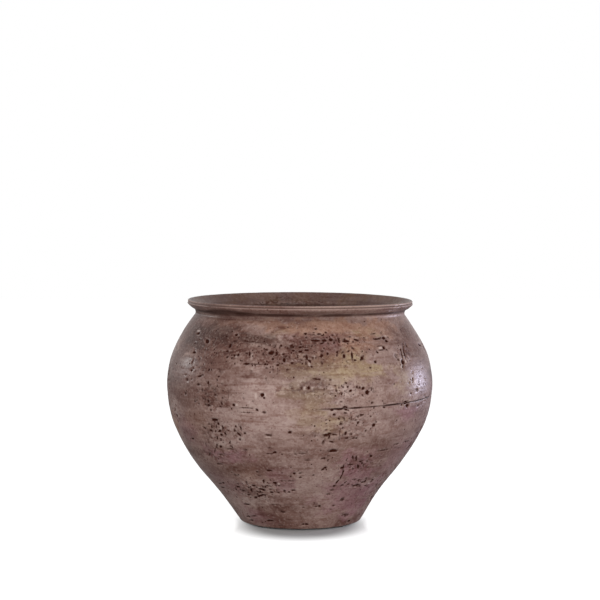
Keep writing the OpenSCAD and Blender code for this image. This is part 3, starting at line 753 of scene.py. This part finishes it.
# degrees where a stretch is open: middle, half-width, strength
open_stretches = [(42, 37, 1.0), (-24, 7, 0.4), (128, 24, 0.8), (205, 14, 0.5), (262, 20, 0.7)]


def seam_rise(angle):
    """How far the seam lies above its mean height: one slow wave round the pot."""
    return seam_lift + seam_wave * np.sin(angle - seam_turn)


def seam_open(angle):
    """How far the seam has opened, from 0 to 1: stretches that fade at their ends, made ragged by hills."""
    total = np.zeros(angle.shape)
    for degrees, half_degrees, power in open_stretches:
        apart = np.abs(gap(angle, degrees)) / math.radians(half_degrees)
        total = np.maximum(total, power * eased(1, 0, (apart - 0.75) * 3))
    ragged = 0.75 + 0.25 * hills(angle, np.zeros(angle.shape), 90, 10, 5)
    return total * ragged


def wander(angle, height):
    """A height near the seam moves with it, and one far away stays: the rise times a bell curve."""
    return height + seam_rise(angle) * bell(height - seam_z, seam_reach)


# %% [markdown]
# ## Sections of the pot
# Each clay piece is a closed outline turned round the axis. An outline is a list of runs: the skin,
# the joint faces, the inside. Each point keeps its outward direction, so that a skin can be pressed in
# by pits and hills while the joints stay true. A joint's edge stays sharp in the shading, and the
# rest is smooth.

# %% Runs and sections
def run(points, outward=(0, 0), skin=0.0, inside=0.0, bare=0.0, worn=0.0, sharp=True):
    """One stretch of an outline, in rows of radius, height, outward r, outward z, skin, inside, bare,
    wear and painted highlight, and sharp."""
    points = np.asarray(points, float)
    rows = np.zeros((len(points), 9))
    rows[:, :2] = points
    rows[:, 2:4] = outward
    rows[:, 4:8] = skin, inside, bare, worn
    rows[0, 8] = sharp
    return rows


def arc_run(centre, radius, start, end, step, hollow=False, **kind):
    """An arc from start to end, in radians, with a point about each step. Outward is away from its
    centre, or towards it where the arc is hollow."""
    turn = np.linspace(start, end, int(abs(end - start) * radius / step) + 2)
    direction = np.stack([np.cos(turn), np.sin(turn)], 1)
    return run(centre + radius * direction, -direction if hollow else direction, **kind)


def line_run(start, end, step, **kind):
    """A straight stretch with a point about each step. Outward is to the right of its way."""
    start, end = np.asarray(start, float), np.asarray(end, float)
    length = np.hypot(*(end - start))
    way = (end - start) / length
    share = np.linspace(0, 1, int(length / step) + 2)[:, None]
    return run(start + share * (end - start), (way[1], -way[0]), **kind)


def section(*runs):
    """A closed outline: each run without its last point, which the next run starts with. Where a skin ends
    at a joint face, the point that they share moves with the skin."""
    for before, after in zip(runs, runs[1:] + runs[:1]):
        if before[-1, 4] > after[0, 4]:
            after[0, 2:8] = before[-1, 2:8]
    return np.concatenate([rows[:-1] for rows in runs])


def skin_run(low, high, step, **kind):
    """The outside of the wall from one height up to another, with finer rows towards the seam."""
    heights = [low]
    while high > heights[-1]:
        near = min(1, max(0.22, (abs(heights[-1] + 0.3 - seam_z) - 0.3) / 5))
        heights.append(heights[-1] + step * near / math.hypot(1, outline(np.array(heights[-1]))[1]))
    heights = np.array(heights)
    heights = low + (heights - low) * (high - low) / (heights[-1] - low)
    radius, slope = outline(heights)
    outward = np.stack([np.ones(len(slope)), -slope], 1) / np.hypot(1, slope)[:, None]
    return run(np.stack([radius, heights], 1), outward, **kind)


def inside_run(high, low, step):
    """The inside of the wall, downwards."""
    heights = np.linspace(high, low, int((high - low) / step) + 2)
    radius = np.interp(heights, inner_z, inner_r)
    return run(np.stack([radius, heights], 1), inside=1.0)


def tongue_run(outside, inside):
    """The key across a joint: a land, a tongue whose tip stands up square to the joint, and a land."""
    outside, inside = np.asarray(outside), np.asarray(inside)
    across = inside - outside
    up = np.array([across[1], -across[0]]) / np.hypot(*across)
    middle = outside + across / 2 + tongue_h * up
    return run([outside, outside + land_share * across, middle, inside - land_share * across, inside])


# %% [markdown]
# ## From a section to a mesh
# The section's rows and the angles round the pot make a grid of points, and each cell of the grid is
# a face. The grid closes on itself both ways, so the piece is a solid ring with no seam. The columns
# stand closer together in front, where the marks are looked at most. Soft clay slumps as it dries, so
# the whole pot is warped a little at the end, every piece alike, and the pieces still fit.

# %% Columns and warp
around = 600
even_angles = np.linspace(0, 2 * np.pi, around, endpoint=False)
angles = even_angles - 0.3 * np.sin(even_angles)
print("columns", round(math.degrees(angles[1]), 2), "degrees apart in front")

# millimetres to the right, where that is most and over which height it fades: the flank and the foot
leans = [(-1.8, 68, 42), (0.9, 0, 18)]
fallen, fallen_z, fallen_half = 0.9, 221, 17
rim_slide, rim_sink, rim_foot_z, rim_reach = 0.5, 2, 215, 30


def warp(xyz):
    """The flank leans to the left and the foot to the right, each in a bell curve of the height. The rim
    has slid to the right and sunk on its right side, where the shoulder has fallen in as well."""
    x, z = xyz[..., 0], xyz[..., 2]
    at_rim = eased(0, 1, (z - rim_foot_z) / rim_reach)
    right_half = eased(0, 1, x / lip_r)
    slump = rim_slide * at_rim - fallen * right_half * bell(z - fallen_z, fallen_half)
    slump = slump + sum(far * bell(z - up, half) for far, up, half in leans)
    sink = -rim_sink * at_rim * ((1 + x / lip_r) / 2) ** 4
    return xyz + np.stack([slump, 0 * slump, sink], -1)


# %% Turning a section
def turned(radius, height, angle):
    """Point at x = r sin a, y = -r cos a, z: angle 0 faces the camera and 90 degrees is to the right."""
    return np.stack([radius * np.sin(angle), -radius * np.cos(angle), height + 0 * angle], -1)


def grid_mesh(name, xyz, closed=True, sharp_rows=(), tints=None):
    """A grid of points, in millimetres, as a mesh. Columns close on themselves. Rows do too where closed,
    and otherwise the first and the last row are a pole each, of one point. Faces are turned over if the
    volume that they hold, the sum of a . (b x c) / 6, comes out negative."""
    rows, columns = xyz.shape[:2]

    def flat(grid):
        if closed:
            return grid.reshape(rows * columns, *grid.shape[2:])
        return np.concatenate([grid[0, :1], grid[1:-1].reshape(-1, *grid.shape[2:]), grid[-1, :1]])

    index = np.arange(rows * columns).reshape(rows, columns)
    if not closed:
        index = np.clip(index - columns + 1, 0, (rows - 2) * columns + 1)
    lower, upper = (index, np.roll(index, -1, 0)) if closed else (index[:-1], index[1:])
    quads = np.stack([lower, np.roll(lower, -1, 1), np.roll(upper, -1, 1), upper], -1).reshape(-1, 4)
    points = flat(warp(xyz)) * mm
    a, b, c, d = (points[quads[:, k]] for k in range(4))
    volume = ((a * np.cross(b, c)).sum() + (a * np.cross(c, d)).sum()) / 6
    faces = quads.tolist()
    if not closed:
        faces = quads[:columns, [0, 2, 3]].tolist() + quads[columns:-columns].tolist()
        faces += quads[-columns:, :3].tolist()
    if volume < 0:
        faces = [face[::-1] for face in faces]
    mesh = bpy.data.meshes.new(name)
    mesh.from_pydata(points, [], faces)
    mesh.polygons.foreach_set("use_smooth", np.ones(len(faces), bool))
    row_of = flat(np.repeat(np.arange(rows), columns).reshape(rows, columns))
    ends = np.empty(2 * len(mesh.edges), int)
    mesh.edges.foreach_get("vertices", ends)
    end_rows = row_of[ends.reshape(-1, 2)]
    sharp = (end_rows[:, 0] == end_rows[:, 1]) & np.isin(end_rows[:, 0], sharp_rows)
    mesh.attributes.new("sharp_edge", "BOOLEAN", "EDGE").data.foreach_set("value", sharp)
    for tint, values in (tints or {}).items():
        values = flat(np.broadcast_to(values, (rows, columns))).astype(np.float32)
        mesh.attributes.new(tint, "FLOAT", "POINT").data.foreach_set("value", values)
    piece = bpy.data.objects.new(name, mesh)
    bpy.context.scene.collection.objects.link(piece)
    print(name, sum(len(face) - 2 for face in faces), "triangles,", round(abs(volume) * 1e6), "cm3")
    return piece


# %% Painted shade, stain, wear and painted highlight round the lip
groove_z = edge_bead[1] - 7.6
crease_z = (edge_bead[1] + top_bead[1]) / 2


def lip_shade_and_stain(angle, height, radius, outside):
    """The groove under the lip, the crease between its beads, and the darkness laid on them: painted
    shade with some stain in the groove, painted shade in the crease, under the lip and below the groove,
    and a dark stain on top of the lip. All but the last are bell curves of the height, and some are wider
    or darker in one part of the round."""
    patchy = 0.8 + 0.35 * hills(angle, height, 46, 4, 61)
    left = eased(0, 1, -gap(angle, -20) / 0.35) * eased(1, 0, -gap(angle, -50) / 0.17)
    groove_half = np.where(height > groove_z, 1.7 + 3.2 * left, 1.4 + 0.9 * left)
    groove = bell(height - groove_z, groove_half, 4) * outside * patchy
    crease = bell(height - crease_z, 0.8) * (radius > lip_r - 1.5)
    lip_top = np.clip((height - top_z + 0.5) / 0.4, 0, 1)
    darker = 0.42 + 0.35 * bell(gap(angle, 12), 0.3)
    under_lip = bell(height - groove_z - 3.3, 2.1) * outside * patchy * darker
    below = bell(height - groove_z + 3.5, 3) * outside * eased(1, 0, gap(angle, 20) / 0.4)
    return groove, crease, np.clip(groove + 0.8 * crease + 0.8 * lip_top + under_lip + 0.5 * below, 0, 1)


def lip_wear_and_highlight(angle, height, outside, left_end, worn):
    """How pale the beads and the ridge under the groove are painted, as wear and painted highlight: the
    beads nothing on the underside of the lower bead, the lower bead most in front, the upper one least
    there, and both hardly at their left end. The ridge is a painted highlight, strongest on the right."""
    front = bell(gap(angle, -12), 0.4)
    ridge = bell(height - groove_z + 2.6, 0.8) * outside * eased(0.3, 1, gap(angle, 26) / 0.3)
    worn = worn * np.where(height > crease_z, 0.72 - 0.6 * front, 1.5 + 0.5 * front)
    worn = worn * np.clip((height - edge_bead[1] + 0.6) / 0.8, 0, 1) * (1 - 0.8 * left_end)
    return np.clip(worn + (0.25 + 0.5 * bell(gap(angle, 54), 0.25)) * ridge, 0, 1)


# %% Skins with their marks
# size, height and half-height of the swells and of the one hollow that the potter's hand left
swells = [(0.4, 190, 11), (0.3, 115, 10), (0.4, 58, 16), (-0.3, 146, 9)]
# layers of the uneven skin and of the wheel's marks, and the sum of each one's sizes
uneven_layers, uneven_most = [(0.25, 7, 60, 1), (0.12, 24, 17, 2)], 0.37
wheel_layers, wheel_most = [(0.06, 6, 2.6, 3), (0.05, 160, 4, 4)], 0.11
clearance, least_clearance = 0.1, 0.02
nick_depth, groove_depth, crease_depth = 0.8, 0.6, 0.3
lit_lining_z, shaded_lining_z = 243.5, 239.5


def clay_piece(name, rows):
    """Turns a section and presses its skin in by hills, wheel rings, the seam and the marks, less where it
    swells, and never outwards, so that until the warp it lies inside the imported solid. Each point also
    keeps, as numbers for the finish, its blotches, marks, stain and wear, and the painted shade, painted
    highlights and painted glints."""
    radius, height, out_r, out_z, skin, inside, bare, worn, sharp = (rows[:, k, None] for k in range(9))
    outside = inside == 0
    angle = np.broadcast_to(angles, (len(rows), around))
    height = wander(angle, height + 0 * angle)
    pushed, bowls, edges = press_marks(angles, height, marks)
    glints = press_marks(angles, height, placed_glints)[1]
    # The wall is truer at the rim and at the foot, where the potter held it.
    calm = np.clip(np.maximum((height - cove_z) / 6, (30 - height) / 20), 0, 1)
    uneven = (uneven_most - layered(angle, height, uneven_layers)) * (1 - 0.9 * calm) - 0.08 * calm
    uneven = uneven + wheel_most - layered(angle, height, wheel_layers)
    swell = sum(size * bell(height - foot_z - up, half) for size, up, half in swells)
    opened = seam_open(angle)
    seam_gap = np.abs(height - seam_z - seam_rise(angle))
    nick = nick_depth * opened * np.clip(1 - seam_gap, 0, 1)
    groove, crease, shade_and_stain = lip_shade_and_stain(angle, height, radius, outside)
    inwards = -np.maximum(clearance + uneven - swell, least_clearance)
    inwards = inwards - pushed - nick - groove_depth * groove - crease_depth * crease
    xyz = turned(radius + inwards * out_r * skin, height + inwards * out_z * skin, angle)
    # The lip's left end is painted darker, and keeps less wear and painted highlight.
    left_end = bell(gap(angle, -50), 0.2) * outside * np.clip((height - edge_bead[1]) / 2 + 1, 0, 1)
    # Of the lining only the far side is seen: a paler band under the lip, and a darker one below it.
    back = bell(gap(angle, 180), 0.9)
    lit_lining = back * bell(height - lit_lining_z, 1.6)
    shaded_lining = back * inside * bell(height - shaded_lining_z, 1.5)
    tints = {kind: blotch(kind, angle, height) for kind in blotches} | {
        "pit": bowls * skin,
        "halo": edges * skin,
        # Pale rims round the marks, and painted highlights at the glints.
        "pale_rims_and_glints": np.clip(0.15 * edges + glints, 0, 1) * skin,
        "crowd": crowding(angle, height) * skin,
        "inside": inside * (1 - 0.25 * back - 0.6 * lit_lining),
        "bare": bare,
        # Wear and painted highlight on the lip's beads, and a painted highlight on the ridge under the
        # groove.
        "worn": lip_wear_and_highlight(angle, height, outside, left_end, worn),
        # Painted shade with some stain round the lip, the painted shadow on the far lining, and the darker
        # left end of the lip.
        "groove": np.maximum(shade_and_stain * skin, np.maximum(0.8 * shaded_lining, 0.4 * left_end)),
        "crack": skin * opened * np.clip(1.3 - seam_gap / 1.4, 0, 1),
    }
    return grid_mesh(name, xyz, True, np.flatnonzero(sharp), tints)


# %% The bowl
seat_r = foot_r - foot_ring_w
seam_outside = np.array([outline(np.array(seam_z))[0], seam_z])
seam_inside = np.array([np.interp(seam_z, inner_z, inner_r), seam_z])
lower_wall = clay_piece("lower_wall_skin", section(
    arc_run(foot_edge, foot_round, -math.pi / 2, -foot_lean, 0.8, skin=1.0),
    skin_run(stations[0, 0], seam_z, 1.35, skin=1.0, sharp=False),
    tongue_run(seam_outside, seam_inside),
    inside_run(seam_z, slab_top_z, 7),
    line_run(slab_corner, (seat_r, slab_low_z), 9, bare=1.0),
    line_run((seat_r, slab_low_z), (seat_r, foot_z), 9, bare=1.0),
    line_run((seat_r, foot_z), (foot_edge[0], foot_z), 5, bare=1.0),
))

# %% The shoulder
neck_outside = stations[-1, [1, 0]]
neck_inside = np.array([inner_r[-1], inner_z[-1]])
upper_wall = clay_piece("upper_wall_skin", section(
    skin_run(seam_z, stations[-1, 0], 0.85, skin=1.0),
    tongue_run(neck_outside, neck_inside),
    inside_run(inner_z[-1], seam_z, 4.4),
    tongue_run(seam_outside, seam_inside)[::-1],
))

# %% The rim
bead_gap = top_bead - edge_bead
bead_turn = math.atan2(bead_gap[1], bead_gap[0])
bead_meet = math.acos(np.hypot(*bead_gap) / (2 * bead_r))
flare_way = np.array([-math.cos(flare_lean), math.sin(flare_lean)])
lip_under = edge_bead - bead_r * flare_way
rim = clay_piece("rim_skin", section(
    arc_run(cove, cove_r, math.pi + shoulder_lean, math.pi - flare_lean, 0.7, hollow=True, skin=1.0),
    line_run(cove + cove_r * flare_way, lip_under, 0.7, skin=1.0, sharp=False),
    # The beads carry wear and painted highlight.
    arc_run(edge_bead, bead_r, -flare_lean, bead_turn - bead_meet, 0.5, skin=1.0, worn=0.7, sharp=False),
    arc_run(top_bead, bead_r, bead_turn - math.pi + bead_meet, math.pi - flare_lean, 0.5, skin=1.0, worn=1.0),
    line_run(top_bead + bead_r * flare_way, cove + (cove_r + rim_wall) * flare_way, 1.2,
             skin=1.0, inside=0.8, sharp=False),
    arc_run(cove, cove_r + rim_wall, math.pi - flare_lean, math.pi + shoulder_lean, 1.6,
            inside=1.0, sharp=False),
    tongue_run(neck_outside, neck_inside)[::-1],
))

# %% [markdown]
# ## Floor and coils
# The floor was thrown flat, and the fingers left a spiral in it as they drew the clay outwards. The
# corner and the seam were then sealed from inside with coils of clay, thumbed down all the way round.
# The floor is a disc with a pole below and above. A coil is a closed band whose thickness swells
# between the thumb marks.

# %% Floor of the pot
floor_coil_w, floor_coil_h = 13, 12
slab_bevel = np.array([2, 0])
slab_play = 0.3
floor_step = (slab_corner[0] - floor_coil_w) / 3
floor_top = line_run(slab_corner - slab_bevel, (0, slab_top_z), 1.6, inside=1.0)
floor_rows = np.concatenate([
    line_run((0, slab_low_z), (seat_r - slab_play, slab_low_z), 7, bare=1.0, sharp=False)[:-1],
    line_run((seat_r - slab_play, slab_low_z), slab_corner - slab_bevel, 6, bare=1.0)[:-1],
    floor_top,
])
floor_angle = np.broadcast_to(even_angles[::2], (len(floor_rows), around // 2))
floor_r, floor_z, floor_inside = (floor_rows[:, k, None] for k in (0, 1, 5))
spiral = 1 - np.cos(2 * np.pi * (floor_r / floor_step) - floor_angle)
spiral = spiral * np.clip(floor_r / 6, 0, 1) + 0.25 * (1 + hills(floor_angle, floor_r, 16, 9, 30))
dented = floor_z - floor_inside * ring_depth * spiral / 2
pot_floor = grid_mesh(
    "pot_floor", turned(floor_r, dented, floor_angle), False, np.flatnonzero(floor_rows[:, 8]),
    {"inside": floor_inside, "bare": floor_rows[:, 6, None]},
)


# %% Coils
coil_rows = 26
belly_coil_h, belly_coil_t = 20, 2.4


def thumbed_coil(name, low, height, thickness, thumbs, seed):
    """A band on the inside of the wall. The share s of its height gives its thickness, which each thumb
    mark presses to about half with 1 - 0.45 cos^2, and the marks lean and vary with hills."""
    share = np.linspace(0, 1, coil_rows)[:, None]
    angle = np.broadcast_to(even_angles, (coil_rows, around))
    z = low + share * height
    wall_r = np.interp(z, inner_z, inner_r)
    turn = thumbs * angle / 2 + 1.2 * share + 1.3 * hills(angle, z, thumbs // 2, 30, seed)
    pressed = 1 - 0.45 * np.cos(turn) ** 2 - 0.12 * (1 + hills(angle, z, 4 * thumbs, 3, seed + 1))
    face = turned(wall_r - 0.12 - thickness(share) * pressed, z, angle)
    back = turned(wall_r + 0.3, z, angle)[::-1]
    # On a coil this is wear alone: the ridges between the thumb marks are paler.
    worn = np.clip(pressed - 0.6, 0, 1)
    corners = (0, coil_rows - 1, coil_rows, 2 * coil_rows - 1)
    tints = {"inside": 1.0, "worn": np.concatenate([worn, 0 * worn])}
    return grid_mesh(name, np.concatenate([face, back]), True, corners, tints)


belly_coil = thumbed_coil("thumbed_belly_coil", seam_z - belly_coil_h / 2, belly_coil_h,
                          lambda s: belly_coil_t * np.sin(np.pi * s), 58, 31)
floor_coil = thumbed_coil("thumbed_corner_coil", slab_top_z - 0.2, floor_coil_h,
                          lambda s: floor_coil_w * (1 - s) ** 2, 24, 33)

# %% [markdown]
# ## Felt pads
# Four discs of felt keep the fired foot from scratching a table. They are stamped from sheet, so their
# edge is a little soft and fibrous, and their face is flat where they rest.

# %% Pads
pad_r, pad_t, pad_corner = 6, foot_z, 0.4
pad_columns = 96
pad_circle_r = (seat_r + foot_edge[0]) / 2


def felt_pad(name, bearing, seed):
    """A disc turned from a flat section with rounded corners. Its edge is frayed with hills."""
    arc = np.linspace(0, np.pi / 2, 5)
    rise, run_in = pad_corner * np.sin(arc), pad_corner * (1 - np.cos(arc))
    edge_r = pad_r - np.concatenate([pad_corner - rise, run_in])
    edge_z = np.concatenate([run_in, pad_t - pad_corner + rise])
    r = np.concatenate([[0, 2, 4], edge_r, [4, 2, 0]])[:, None]
    z = np.concatenate([[0, 0, 0], edge_z, [pad_t] * 3])[:, None]
    turn = np.broadcast_to(np.linspace(0, 2 * np.pi, pad_columns, endpoint=False), (len(r), pad_columns))
    frayed = r - 0.12 * (1 + hills(turn, z * 40, 48, 20, seed)) * (r > 5)
    centre = turned(np.array(pad_circle_r), 0, np.array(math.radians(bearing)))
    return grid_mesh(name, turned(frayed, z, turn) + centre, False)


pads = [felt_pad(f"felt_pad_{k + 1}", 45 + 90 * k, 40 + k) for k in range(4)]

# %% [markdown]
# ## The finish
# The pot is brown clay under a thin glaze that was rubbed back, so it is matt where the clay shows and
# satin where the glaze stays. The colours that were painted on the skins as numbers are laid over a
# cloudy brown, one after the other. Streaks along the wheel's turn, grain, and pits too small for the
# mesh come from noise in the same space, so they run on from piece to piece.

# %% Fired clay
# a kind of blotch, its strength and its colour, each laid over those before it
blotch_tones = [
    ("rose", 0.9, (155, 131, 124)), ("ochre", 0.9, (147, 125, 100)), ("rust", 0.9, (144, 110, 94)),
    ("mauve", 0.8, (130, 91, 96)), ("umber", 0.85, (88, 55, 46)), ("scorched", 0.5, (46, 25, 20)),
]


def fired_clay():
    """A cloudy brown with the blotches, the streaks, the grain, the marks, the painted glints, the wear and
    painted highlights, the painted shade and stain round the lip and the lining laid over it in turn, satin
    where the glaze stays and matt in the pits."""
    s = Shader(bpy.data.materials.new("fired_clay"))
    cloud = s.noise(60, (1, 1, 1.6), 4)
    smear = s.noise(15, (0.3, 0.3, 1), 4, (2, 7, 1))
    streak = s.noise(4, (0.1, 0.1, 1), 4, (3, 1, 0))
    mottle = s.noise(6, (0.8, 0.8, 1), 3, (6, 2, 8))
    fold = s.noise(9, (0.55, 0.55, 1.3), 4, (1, 8, 3))
    grain = s.noise(2.6, (1, 1, 1.2), 3, (0, 5, 2))
    crowd, dragged, shade_and_stain = s.tint("crowd"), s.tint("dragged"), s.tint("groove")
    inside, bare = s.tint("inside"), s.tint("bare")
    base = s.mix(s.ramp(cloud, 0.35, 0.65), colour(116, 88, 81), colour(137, 111, 103))
    for kind, strength, tone in blotch_tones:
        base = s.layer(base, colour(*tone), s.tint(kind), strength)
    dark = s.mix(1.0, base, colour(180, 145, 135), "MULTIPLY")
    light = s.mix(0.42, base, colour(184, 163, 152))
    dirt = s.maths("MULTIPLY_ADD", s.most(crowd, dragged), 0.75, 0.25)
    wrinkle = s.times(s.ramp(s.maths("ABSOLUTE", s.maths("SUBTRACT", fold, 0.5)), 0.05, 0.01), dragged)
    for tone, share, strength in (
        (dark, s.ramp(smear, 0.5, 0.75), 0.4),
        (light, s.ramp(smear, 0.45, 0.25), 0.4),
        (dark, s.ramp(streak, 0.55, 0.7), 0.5),
        (light, s.ramp(streak, 0.42, 0.25), 0.35),
        (dark, s.ramp(mottle, 0.48, 0.6), dirt),
        (colour(66, 40, 34), wrinkle, 0.8),
        (dark, s.ramp(grain, 0.54, 0.68), 0.5),
        (light, s.ramp(grain, 0.44, 0.32), 0.45),
        (colour(88, 58, 50), s.ramp(s.tint("halo"), 0.2, 0.9), 0.45),
        # Pale rims round the marks, and painted glints.
        (colour(184, 162, 154), s.tint("pale_rims_and_glints"), 0.8),
        # Wear, and painted highlight on the lip.
        (colour(172, 144, 134), s.tint("worn"), 0.6),
    ):
        base = s.layer(base, tone, share, strength)
    thick = s.maths("MULTIPLY_ADD", crowd, 0.5, 0.03)
    small = s.pits(3.2, thick, 0.34, (1, 1, 0.75), (4, 4, 4))
    tiny = s.pits(1.9, thick, 0.36, (1, 1, 0.9), (9, 3, 1))
    frayed = s.maths("ADD", s.tint("pit"), s.maths("SUBTRACT", grain, 0.5))
    hole = s.most(s.ramp(frayed, 0.12, 0.75), small, s.times(tiny, 0.8))
    hole = s.times(hole, s.maths("SUBTRACT", 1.0, s.most(inside, bare)))
    base = s.mix(hole, base, colour(48, 20, 13))
    # Painted shade, with some stain, round the lip and on the far lining.
    base = s.layer(base, colour(46, 25, 20), shade_and_stain, 0.85)
    base = s.mix(s.ramp(s.tint("crack"), 0.25, 0.85), base, colour(46, 20, 14))
    smoke = s.noise(22, (1, 1, 0.6), 3, (5, 5, 0))
    squiggle = s.noise(5, (1, 1, 0.4), 2, (0, 3, 6))
    lining = s.mix(s.ramp(smoke, 0.4, 0.6), colour(88, 62, 46), colour(80, 58, 55))
    lining = s.layer(lining, colour(40, 27, 22), s.ramp(squiggle, 0.55, 0.7), 0.5)
    base = s.layer(base, lining, inside, 0.8)
    base = s.layer(base, colour(150, 112, 92), bare, 0.85)
    rough = s.maths("ADD", s.times(grain, 0.25), s.maths("MULTIPLY_ADD", s.most(hole, bare), 0.4, 0.25))
    relief = s.maths("SUBTRACT", s.times(grain, 0.35), s.most(wrinkle, small, tiny))
    shine = s.mix(s.most(hole, shade_and_stain), (1, 1, 1, 1), colour(70, 40, 30))
    return s.surface(Base_Color=base, Roughness=rough, Normal=s.bump(relief, 0.5, 0.5),
                     Specular_IOR_Level=0.12, Specular_Tint=shine)


clay = fired_clay()
print("fired clay:", len(clay.node_tree.nodes), "nodes")


# %% Felt
def felt():
    """Grey-brown fibres, matt, with a faint sheen."""
    s = Shader(bpy.data.materials.new("felt"))
    fibre = s.noise(0.5, (1, 1, 0.3), 4)
    base = s.mix(fibre, colour(38, 32, 30), colour(84, 74, 70))
    return s.surface(Base_Color=base, Roughness=1.0, Normal=s.bump(fibre, 0.3, 0.8), Sheen_Weight=0.4,
                     Specular_IOR_Level=0.1)


pad_felt = felt()

# %% Fit the pieces
fitted = [
    (lower_wall, "lower_wall", "fired_finish", clay),
    (upper_wall, "upper_wall", "fired_finish", clay),
    (rim, "rim", "fired_finish", clay),
    (pot_floor, "floor_slab", "bare_clay", clay),
    (belly_coil, "belly_coil", "inner_finish", clay),
    (floor_coil, "floor_coil", "inner_finish", clay),
] + [(pad, "foot_pads", "felt", pad_felt) for pad in pads]
for piece, node, slot, finish in fitted:
    piece.data.materials.append(finish)
    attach(piece, "root")
    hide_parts(node)
print(len(fitted), "pieces fitted")
